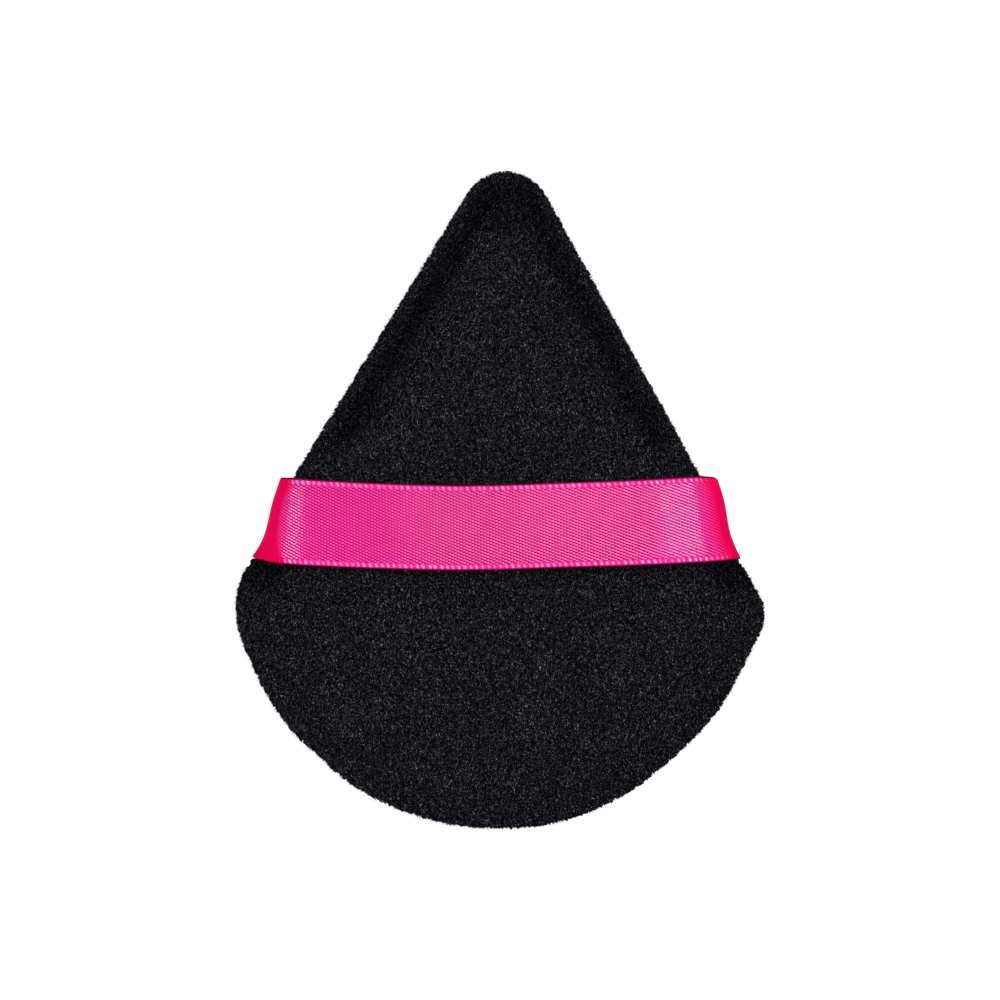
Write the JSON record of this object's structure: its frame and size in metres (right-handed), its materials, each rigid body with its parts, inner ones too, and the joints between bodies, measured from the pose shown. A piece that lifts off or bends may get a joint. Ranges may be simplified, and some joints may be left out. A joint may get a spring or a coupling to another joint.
{
  "type": "triangle powder puff",
  "caption": "Rounded-triangle velour powder puff with a foam filling, a turned seam and a satin ribbon strap for the fingers across its front.",
  "frame": {"origin": "middle of the box's lowest face, under the flattened back panel", "axes": "+Y from the round base towards the tip, +Z out of the front face that carries the strap, +X to the right seen from the front"},
  "size_m": [0.064, 0.0796, 0.0146],
  "materials": {
    "velour": "black short-pile velour",
    "satin": "pink satin-weave ribbon with loop edges",
    "foam": "soft open-cell foam",
    "thread": "black sewing thread"
  },
  "bodies": {
    "root": {"front_panel": "velour", "back_panel": "velour", "foam_core": "foam", "finger_ribbon": "satin", "needle_thread": "thread", "bobbin_thread": "thread", "closing_thread": "thread", "left_tack_thread": "thread", "right_tack_thread": "thread"}
  },
  "joints": []
}
